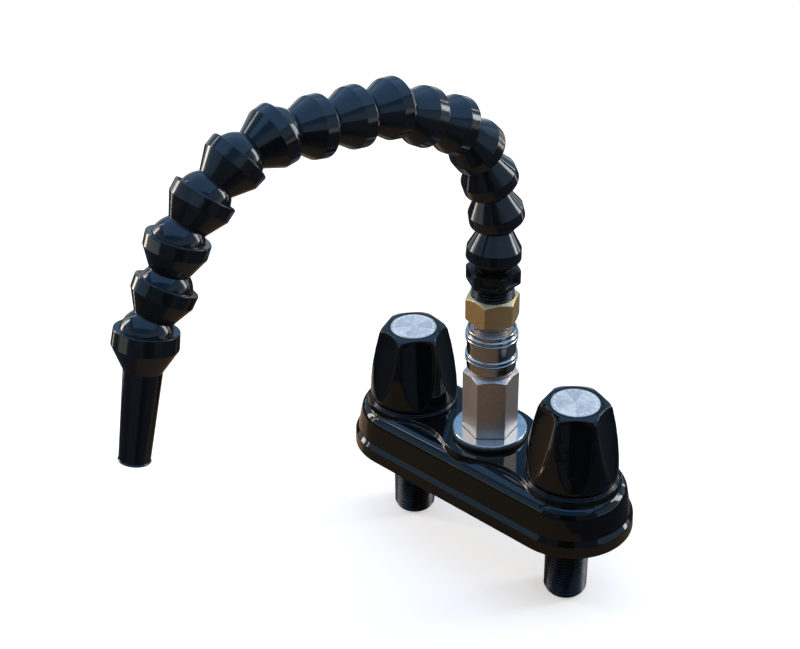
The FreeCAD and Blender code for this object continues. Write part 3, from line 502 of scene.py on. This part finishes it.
skirt = rounded(SKIRT + [(0.0, SHELF_Z), (0.0, INSIDE[0][1])] + INSIDE)
SHOULDER = [p for p in skirt if p[1] > 12.0 and (p[0] > 21.0 or p[1] > 23.0)]
shell = [turned("skirt", skirt, around=128, spread=HANDLE_X), plateau()]
for x in handle_at.values():
    shell.append(turned("rim", rounded([
        (RIM_HOLE_R, PLATEAU_Z - 0.5), (RIM_R + 0.6, PLATEAU_Z - 0.5), (RIM_R + 0.6, PLATEAU_Z - 0.1, 0.0),
        (RIM_R, PLATEAU_Z + 0.1, 0.5), (RIM_R, RIM_Z, 0.6), (RIM_HOLE_R, RIM_Z, 0.3)]),
        at=(x, 0, 0), around=128))
piece("deck_shell", shell, gloss_abs, "base", "deck_cover", slot="cover_plastic")


# Valves: inside each tower a rubber seal, a ceramic disc, and a white acetal stem held by its bonnet.
# The stem carries a rubber ring and ends in a spline for the knob.
nitrile = surface("black nitrile rubber", "0E0E0F", 0.55, mottle=0.15, mottle_mm=2.0, grain_mm=0.4,
                  grain=0.2)
ceramic = surface("lapped alumina ceramic", "E2DFD6", 0.25, mottle=0.03, mottle_mm=3.0)
white_acetal = surface("white acetal", "D8D4C8", 0.35, mottle=0.04, mottle_mm=5.0, grain_mm=0.5, grain=0.1)
for side_name in ("left", "right"):
    dress("valve_seal_" + side_name, nitrile)
    dress("stem_ring_" + side_name, nitrile)
    dress("valve_disc_" + side_name, ceramic)
    dress("valve_stem_" + side_name, white_acetal)
    dress("valve_bonnet_" + side_name, white_acetal)


# Knobs: black ABS, moulded as a flared dome with six long shallow scoops that leave ribs between them.
# Each is held on its stem by a steel screw under the index disc.
DOME = [(13.6, 29.2, 0.3), (21.8, 29.2, 0.5), (22.3, 31.0, 0.6), (21.9, 38.0, 8.0), (20.9, 47.0, 12.0),
        (19.4, 56.0, 12.0), (17.4, 64.8, 1.4), (16.1, 66.9, 1.6), (13.6, 67.7, 2.0), (11.9, 67.7, 0.15),
        (11.7, 67.5), (11.7, 66.8)]
HOLLOW = [(4.4, 66.8), (4.4, 61.4), (2.3, 61.4), (2.3, 59.9), (4.05, 59.9), (4.05, 43.0), (13.6, 43.0, 1.0)]
SCOOPS, SCOOP_R, SCOOP_FOOT, SCOOP_LEAN = 6, 90.0, 22.7, math.radians(12.2)
DISH, DISH_EDGE = 0.6, 0.5
RIB_TURN = {"left": -70.8, "right": -80.3}


def scooped(radius, angle, height):
    """Radius that a scoop leaves: a long shallow cut leaning in, a little dished inside its edge."""
    step = 2 * math.pi / SCOOPS
    off = (angle + step / 2) % step - step / 2
    along = Vector((-math.sin(SCOOP_LEAN), 0, math.cos(SCOOP_LEAN)))
    ray = Vector((math.cos(off), math.sin(off), 0))
    start = Vector((-SCOOP_FOOT - SCOOP_R / math.cos(SCOOP_LEAN), 0, height - DOME[0][1]))
    d, e = ray - along * ray.dot(along), start - along * start.dot(along)
    a, b, c = d.dot(d), d.dot(e), e.dot(e) - SCOOP_R ** 2
    inside = b * b - a * c
    if inside <= 0:
        return radius
    reach = (-b - math.sqrt(inside)) / a
    dish = DISH * (1 - math.exp(-max(radius - reach, 0.0) / DISH))
    return lesser(radius, reach - dish, DISH_EDGE)


def refined(outline, longest):
    """The outline with no run longer than a length, so that a trimmed surface follows its trim."""
    points = []
    for i, (r, z) in enumerate(outline):
        points.append((r, z))
        r2, z2 = outline[(i + 1) % len(outline)]
        parts = max(1, math.ceil(math.hypot(r2 - r, z2 - z) / longest))
        points += [(r + (r2 - r) * k / parts, z + (z2 - z) * k / parts) for k in range(1, parts)]
    return points


screw_steel = surface("bright stainless steel", "A9A9AB", 0.25, metallic=1.0, mottle=0.05, mottle_mm=2.0)
for side_name, x in handle_at.items():
    outline = rounded(DOME + HOLLOW)
    knob = turned("knob", refined(outline, 0.5), at=(x, 0, 0), around=300, trim=scooped,
                  twist=RIB_TURN[side_name] + 180 / SCOOPS)
    piece("scooped_knob_" + side_name, [knob], gloss_abs, "handle_" + side_name, "handle_knob_" + side_name,
          slot="knob_plastic")
    dress("knob_screw_" + side_name, screw_steel)


# Index discs: a thin silvery foil under a clear face, set into the top of each knob.
# A ring of plain ticks runs round the edge, and the foil is scored with fine lines in sectors.
# Painted sheen: the foil's sectors and scored lines are painted lighter and darker.
DISC_R, DISC_LOW, FACE_Z, DISC_TOP = 11.5, 66.85, 67.93, 67.95
TICKS, TICK_AT, TICK_SIZE = 20, 9.9, (1.9, 0.8, 0.16)
SECTORS, SCORE_MM = 7, 0.62


def tick_tree():
    """Node tree that sets small raised bars round a circle."""
    tree = bpy.data.node_groups.new("ticks", "GeometryNodeTree")
    face = tree.interface
    face.new_socket("Count", in_out="INPUT", socket_type="NodeSocketInt")
    for label in ("Radius", "Height"):
        face.new_socket(label, in_out="INPUT", socket_type="NodeSocketFloat")
    face.new_socket("Size", in_out="INPUT", socket_type="NodeSocketVector")
    face.new_socket("Material", in_out="INPUT", socket_type="NodeSocketMaterial")
    face.new_socket("Geometry", in_out="OUTPUT", socket_type="NodeSocketGeometry")
    sizes = add(tree, "NodeGroupInput").outputs
    ring = add(tree, "GeometryNodeMeshCircle", Vertices=sizes["Count"], Radius=sizes["Radius"])
    tick = add(tree, "GeometryNodeMeshCube", Size=sizes["Size"])
    number = add(tree, "GeometryNodeInputIndex").outputs[0]
    turn = add(tree, "ShaderNodeMath", {"operation": "DIVIDE"}, i0=number, i1=sizes["Count"])
    angle = add(tree, "ShaderNodeMath", {"operation": "MULTIPLY_ADD"}, i0=turn.outputs[0], i1=2 * math.pi,
                i2=math.pi / 2)
    spin = add(tree, "ShaderNodeCombineXYZ", Z=angle.outputs[0])
    bars = add(tree, "GeometryNodeInstanceOnPoints", Points=ring.outputs[0], Instance=tick.outputs[0],
               Rotation=spin.outputs[0])
    lift = add(tree, "ShaderNodeCombineXYZ", Z=sizes["Height"])
    real = add(tree, "GeometryNodeRealizeInstances", Geometry=bars.outputs[0])
    raised = add(tree, "GeometryNodeSetPosition", Geometry=real.outputs[0], Offset=lift.outputs[0])
    named = add(tree, "GeometryNodeSetMaterial", Geometry=raised.outputs[0], Material=sizes["Material"])
    add(tree, "NodeGroupOutput", Geometry=named.outputs[0])
    return tree


def scored_foil():
    """Silvery foil under a clear face, scored with fine lines that turn from sector to sector."""
    material, tree, output = new_material("scored silver foil under clear acrylic")
    place = add(tree, "ShaderNodeTexCoord").outputs["Object"]
    spot = add(tree, "ShaderNodeSeparateXYZ", Vector=place)

    def calc(operation, a, b=0.0, c=0.0):
        return add(tree, "ShaderNodeMath", {"operation": operation}, i0=a, i1=b, i2=c).outputs[0]

    x = calc("SUBTRACT", calc("ABSOLUTE", spot.outputs["X"]), HANDLE_X * MM)
    y = spot.outputs["Y"]
    sector = calc("FLOOR", calc("DIVIDE", calc("ARCTAN2", y, x), 2 * math.pi / SECTORS))
    slant = calc("MULTIPLY", sector, 1.9)
    run = calc("ADD", calc("MULTIPLY", x, calc("COSINE", slant)), calc("MULTIPLY", y, calc("SINE", slant)))
    score = calc("SINE", calc("MULTIPLY", run, 2 * math.pi / (SCORE_MM * MM)))
    cloud = add(tree, "ShaderNodeTexNoise", Vector=place, Scale=1 / (2.5 * MM), Detail=4.0)
    # Painted sheen: sectors and scored lines are painted lighter or darker; the cloud is random tone.
    tone = calc("MULTIPLY_ADD", calc("SINE", calc("MULTIPLY", sector, 2.3)), 0.2,
                calc("MULTIPLY_ADD", score, 0.12, cloud.outputs["Fac"]))
    foil_tone_and_sheen = add(tree, "ShaderNodeMix", {"data_type": "RGBA"}, i0=tone, i6=linear("A3ABB0"),
              i7=linear("F4F4F2"))
    bump = add(tree, "ShaderNodeBump", Strength=0.3, Distance=0.04 * MM, Height=score)
    shader = add(tree, "ShaderNodeBsdfPrincipled", Base_Color=foil_tone_and_sheen.outputs[2], Metallic=0.2, Roughness=0.35,
                 Normal=bump.outputs[0])
    shader.inputs["Coat Weight"].default_value = 0.5
    shader.inputs["Coat Roughness"].default_value = 0.08
    tree.links.new(shader.outputs[0], output.inputs["Surface"])
    return material


foil = scored_foil()
# Painted highlight: the raised ticks are coloured pale for the light that their tops catch.
tick_highlight_paint = surface("pale painted highlight on ticks", "E4ECF2", 0.4, mottle=0.04, mottle_mm=2.0)
ticks = tick_tree()
for side_name, x in handle_at.items():
    disc = turned("disc", rounded([
        (0.0, DISC_LOW), (DISC_R, DISC_LOW), (DISC_R, FACE_Z - 0.1, 0.3), (DISC_R - 0.8, FACE_Z, 0.1),
        (TICK_AT - 1.2, FACE_Z - 0.1, 0.1), (TICK_AT - 1.5, FACE_Z, 0.1), (0.0, FACE_Z)],
        closed=False), at=(x, 0, 0), closed=False)
    piece("dial_face_" + side_name, [disc], foil, "handle_" + side_name, "index_disc_" + side_name,
          slot="index_metal")
    marks = grown("ticks " + side_name, ticks, Count=TICKS, Radius=TICK_AT * MM,
                  Height=(DISC_TOP - TICK_SIZE[2] / 2) * MM, Size=[s * MM for s in TICK_SIZE])
    marks.transform(Matrix.Translation((x * MM, 0, 0)))
    piece("dial_ticks_" + side_name, [marks], tick_highlight_paint, "handle_" + side_name, sharp=20.0,
          slot="index_metal")


# Middle stack: a brass nipple screwed into the boss, a black rubber pad and a zinc-plated washer.
# The coupler is screwed down on them and clamps the cover.
brass = surface("machined brass", "E6C088", 0.42, metallic=1.0, mottle=0.09, mottle_mm=1.1, grain_mm=0.25,
                grain=0.4, wear=0.15)
zinc = surface("bright zinc plate", "CDD3D6", 0.2, metallic=0.85, mottle=0.05, mottle_mm=6.0, grain_mm=0.4,
               grain=0.1, wear=0.35)
PAD_R, PAD_Z, WASHER_R, WASHER_Z, STACK_HOLE_R = 18.7, 29.4, 18.4, 30.9, 8.3
dress("spout_nipple", brass)
pad = turned("pad", rounded([
    (STACK_HOLE_R, PLATEAU_Z), (PAD_R, PLATEAU_Z, 0.5), (PAD_R, PAD_Z, 0.6), (STACK_HOLE_R, PAD_Z)]),
    around=128)
piece("rubber_pad", [pad], nitrile, "base", "spout_pad", slot="seal_rubber")
washer = turned("washer", rounded([
    (STACK_HOLE_R, PAD_Z), (WASHER_R, PAD_Z, 0.35), (WASHER_R, WASHER_Z, 0.45), (STACK_HOLE_R, WASHER_Z)]),
    around=128)
piece("plated_washer", [washer], zinc, "base", "spout_washer", slot="washer_chrome")


# Coupler body: milled from hexagon steel bar and nickel plated, with a turned neck above that holds
# six locking balls round the plug.
def hexagon(flats, edge=0.12):
    """Trims a turned form to a hexagon bar, its first corner on X and its edges a little rounded."""
    def flat_side(radius, angle, height):
        return lesser(radius, flats / 2 / math.cos(angle % (math.pi / 3) - math.pi / 6), edge)
    return flat_side


nickel = surface("nickel-plated steel bar", "CDBFB2", 0.46, metallic=1.0, mottle=0.14, mottle_mm=0.9,
                 grain_mm=0.3, grain=0.5, wear=0.1)
bright_nickel = surface("turned and nickel-plated steel", "C6C1BC", 0.14, metallic=1.0, mottle=0.04,
                        mottle_mm=6.0, wear=0.2, rings_mm=0.35, rings=0.25)
BODY_FLATS, BODY_TURN, HEX_Z, RING_R, CONE_RISE = 23.8, -18.3, 64.25, 10.9, 0.577
SEAT_R, NECK_TURNED_R, NECK_TOP, WEB_LOW, WEB_Z, WEB_BORE = 8.05, 9.9, 88.2, 46.0, 62.0, 4.6
CORNER = BODY_FLATS / math.sqrt(3)
bar = refined(rounded([
    (SEAT_R, WASHER_Z), (RING_R, WASHER_Z), (RING_R, WASHER_Z + 0.3), (CORNER, WASHER_Z + 0.45, 0.15),
    (CORNER, HEX_Z - (CORNER - RING_R) * CONE_RISE, 0.3), (RING_R, HEX_Z), (RING_R, 65.6, 0.3),
    (NECK_TURNED_R, 65.6), (NECK_TURNED_R, 86.6), (9.2, 86.65), (9.2, 87.5), (NECK_TURNED_R, 87.5),
    (NECK_TURNED_R, NECK_TOP, 0.4), (SEAT_R, NECK_TOP, 0.3), (SEAT_R, WEB_Z), (WEB_BORE, WEB_Z),
    (WEB_BORE, WEB_LOW), (SEAT_R, WEB_LOW)]), 0.6)
body = turned("coupler", bar, around=320, twist=BODY_TURN, trim=hexagon(BODY_FLATS))
piece("hexagon_coupler", [body], nickel, "base", "coupler_body", slot="coupler_nickel")
for node in ("locking_balls", "retaining_ring", "sleeve_spring"):
    dress(node, screw_steel)
dress("coupler_seal", nitrile)


# Coupler sleeve: a turned and bright-plated collar with two pairs of grip ridges. It is pulled down
# against its spring to let the plug go.
RIDGES = (70.9, 82.2)
RIDGE_R, RIDGE_T, SLEEVE_R, SLEEVE_LOW, SLEEVE_Z, LAND_Z = 12.7, 2.1, 11.95, 66.9, 88.6, 86.6
SLEEVE_BORE, LAND_R, LAND_LOW = 11.05, 10.0, 78.0
outline = [(SLEEVE_BORE, SLEEVE_LOW), (SLEEVE_R, SLEEVE_LOW, 0.4)]
for low in RIDGES:
    for first in (low, low + RIDGE_T):
        outline += [(SLEEVE_R, first + 0.1, 0.1), (RIDGE_R, first + 0.35, 0.45),
                    (RIDGE_R, first + RIDGE_T - 0.35, 0.45), (SLEEVE_R, first + RIDGE_T - 0.1, 0.1)]
outline += [(SLEEVE_R, SLEEVE_Z, 0.7), (SLEEVE_BORE, SLEEVE_Z, 0.15), (SLEEVE_BORE, LAND_Z),
            (LAND_R, LAND_Z + LAND_R - SLEEVE_BORE), (LAND_R, LAND_LOW), (SLEEVE_BORE, LAND_LOW)]
sleeve = turned("sleeve", rounded(outline), around=160)
piece("ridged_sleeve", [sleeve], bright_nickel, "sleeve", "coupler_sleeve", slot="coupler_nickel")


# Brass adapter: hexagon bar with turned corners and the hose's thread in its top. A turned and plated
# plug with a collar hangs below it and is locked in the coupler.
ADAPTER_FLATS, ADAPTER_TURN, ADAPTER_LOW, ADAPTER_Z, FACE_R = 23.0, -5.8, 91.5, 106.4, 10.6
UNDER_R, UNDER_RISE, TAPPED_R, TAPPED_LOW, PLUG_BORE = 8.7, 0.62, 10.25, 95.0, 4.6
PLUG_R, PLUG_LOW = 7.95, 62.4
CORNER_B = ADAPTER_FLATS / math.sqrt(3)
bar = refined(rounded([
    (PLUG_BORE, ADAPTER_LOW), (UNDER_R, ADAPTER_LOW, 0.2),
    (CORNER_B, ADAPTER_LOW + (CORNER_B - UNDER_R) * UNDER_RISE, 0.3),
    (CORNER_B, ADAPTER_Z - (CORNER_B - FACE_R) * CONE_RISE, 0.3), (FACE_R, ADAPTER_Z, 0.1),
    (TAPPED_R, ADAPTER_Z, 0.1), (TAPPED_R, TAPPED_LOW), (PLUG_BORE, TAPPED_LOW)]), 0.5)
body = turned("adapter", bar, around=360, twist=ADAPTER_TURN, trim=hexagon(ADAPTER_FLATS))
plug = turned("plug", rounded([
    (6.15, PLUG_LOW, 0.3), (6.15, 68.0), (PLUG_R, 68.0, 0.3), (PLUG_R, 81.1), (7.05, 82.0), (7.05, 85.4),
    (PLUG_R, 86.3), (PLUG_R, 89.3), (8.9, 89.6, 0.4), (8.9, 91.1, 0.4), (8.2, ADAPTER_LOW),
    (PLUG_BORE, ADAPTER_LOW), (PLUG_BORE, PLUG_LOW, 0.2)]), around=128)
piece("plated_plug", [plug], bright_nickel, "plug", slot="coupler_nickel")
piece("brass_hexagon", [body], brass, "plug", "brass_adapter", slot="brass")


# Hose connector: black acetal, a threaded stub in the adapter, a hexagon with a moulded pocket in each
# flat, and the first ball of the hose.
HOSE_Z = joints["hose_joint_01"]["pos_m"][2] / MM
BALL_R, BALL_END, SOCKET_R, WAIST, HOSE_BORE = 10.9, 6.0, 10.97, 8.0, 6.2
CONNECTOR_FLATS, CONNECTOR_TURN, CONNECTOR_LOW, CONNECTOR_Z = 22.8, -31.7, 113.4, 120.7
POCKET_WIDE, POCKET_HIGH, POCKET_DEEP, POCKET_EDGE = 8.2, 4.4, 1.2, 0.35
CONNECTOR_FACE_R, CONNECTOR_EDGE = 12.6, 0.15

acetal = surface("black acetal", "0D1013", 0.13, mottle=0.12, mottle_mm=12.0, grain_mm=4.0, grain=0.05,
                 wear=0.35)


def arc(centre_z, radius, first, last, steps):
    """Points of a ball's outline between two angles above its middle, in degrees."""
    angles = [math.radians(first + (last - first) * k / steps) for k in range(steps + 1)]
    return [(radius * math.cos(a), centre_z + radius * math.sin(a)) for a in angles]


def pocketed_hexagon(radius, angle, height):
    """Trims a turned form to a hexagon whose flats have a sunk pocket with a sloped edge."""
    off = angle % (math.pi / 3) - math.pi / 6
    flat = CONNECTOR_FLATS / 2
    across = abs(flat * math.tan(off))
    middle = (CONNECTOR_LOW + CONNECTOR_Z) / 2
    inset = min(POCKET_WIDE / 2 - across, POCKET_HIGH / 2 - abs(height - middle))
    depth = POCKET_DEEP * min(max(inset / POCKET_EDGE, 0.0), 1.0)
    return lesser(radius, (flat - depth) / math.cos(off), CONNECTOR_EDGE)


CORNER_C = CONNECTOR_FLATS / math.sqrt(3)
STUB_LOW, STUB_R = 95.4, 10.2
first_angle = -math.degrees(math.acos(WAIST / BALL_R))
last_angle = math.degrees(math.asin(BALL_END / BALL_R))
hexed = refined(rounded([
    (HOSE_BORE, CONNECTOR_LOW), (CONNECTOR_FACE_R, CONNECTOR_LOW, 0.1),
    (CORNER_C, CONNECTOR_LOW + 0.33, 0.1), (CORNER_C, CONNECTOR_Z - 0.33, 0.1),
    (CONNECTOR_FACE_R, CONNECTOR_Z, 0.1), (HOSE_BORE, CONNECTOR_Z)]), 0.2)
hexed = turned("hexagon", hexed, around=360, twist=CONNECTOR_TURN, trim=pocketed_hexagon)
ball = arc(HOSE_Z, BALL_R, first_angle, last_angle, 28)
ball = turned("ball", [(WAIST, CONNECTOR_Z - 0.3)] + ball + [
    (HOSE_BORE, HOSE_Z + BALL_END), (HOSE_BORE, CONNECTOR_Z - 0.3)])
stub_root = STUB_R - THREAD_DEPTH
skin = grown("stub thread", thread, Radius=STUB_R * MM, Depth=THREAD_DEPTH * MM, Pitch=THREAD_PITCH * MM,
             Low=(STUB_LOW + 0.5) * MM, High=CONNECTOR_LOW * MM, Fade=1.0 * MM)
stub = turned("stub", [
    (stub_root, CONNECTOR_LOW), (HOSE_BORE, CONNECTOR_LOW), (HOSE_BORE, STUB_LOW), (stub_root, STUB_LOW),
    (stub_root, STUB_LOW + 0.5)], closed=False)
piece("hexagon_connector", [skin, stub, hexed, ball], filled_acetal, "plug", "hose_connector",
      slot="hose_plastic")


# Hose: fourteen moulded segments of black acetal, each a socket cup, a cone and a ball that snaps into
# the next cup, and a tapered nozzle on the end.
LIP, PITCH_OF_HOSE = -2.5, 19.42
LIP_R = math.sqrt(SOCKET_R ** 2 - LIP ** 2)
TUBE_BORE, TUBE_TOP, TUBE_END = 4.7, 18.0, 54.0


def socket_arc():
    """The inside of a cup, from the bore down to the lip."""
    top = math.degrees(math.acos(HOSE_BORE / SOCKET_R))
    lip = math.degrees(math.asin(LIP / SOCKET_R))
    return arc(0, SOCKET_R, top, lip, 24)


def segment_outline():
    """Cup, cone and ball of a segment, out along its axis from the middle of its socket."""
    neck = PITCH_OF_HOSE - math.sqrt(BALL_R ** 2 - WAIST ** 2)
    cup = rounded([(LIP_R, LIP, 0.25), (12.75, LIP, 0.35), (13.0, -1.9, 0.4), (12.78, 3.2, 0.5),
                   (WAIST, neck, 0.0)], closed=False)
    tail = arc(PITCH_OF_HOSE, BALL_R, first_angle, last_angle, 28)
    return cup[:-1] + tail + [(HOSE_BORE, PITCH_OF_HOSE + BALL_END)] + socket_arc()[:-1]


def nozzle_outline():
    """The nozzle's wider cup, its cone and its tapered tube with a beaded end."""
    cup = rounded([(LIP_R, LIP, 0.25), (13.0, LIP, 0.4), (13.4, 4.5, 0.5), (7.9, 14.5, 0.8),
                   (6.45, 52.9, 0.3), (6.8, 53.3, 0.2), (6.45, TUBE_END, 0.3), (TUBE_BORE, TUBE_END, 0.3),
                   (TUBE_BORE, TUBE_TOP), (HOSE_BORE, TUBE_TOP),
                   (HOSE_BORE, math.sqrt(SOCKET_R ** 2 - HOSE_BORE ** 2))], closed=False)
    return cup + socket_arc()[1:-1]


places = [Vector(joint["pos_m"]) / MM for name, joint in sorted(joints.items())
          if name.startswith("hose_joint")]
hose_bodies = ["segment_%02d" % (i + 1) for i in range(len(places) - 1)] + ["nozzle"]
for i, body_name in enumerate(hose_bodies):
    last = body_name == "nozzle"
    node = "hose_" + body_name
    if last:
        spots = [v.co.copy() / MM - places[i] for v in nodes[node].data.vertices]
        reach = max(s.length for s in spots)
        tip = [s for s in spots if s.length > reach - 0.01]
        direction = sum(tip, Vector((0, 0, 0))) / len(tip)
    else:
        direction = places[i + 1] - places[i]
    form = turned(body_name, nozzle_outline() if last else segment_outline(), at=places[i], axis=direction)
    piece(body_name + "_moulding", [form], acetal, body_name, node, slot="hose_plastic")
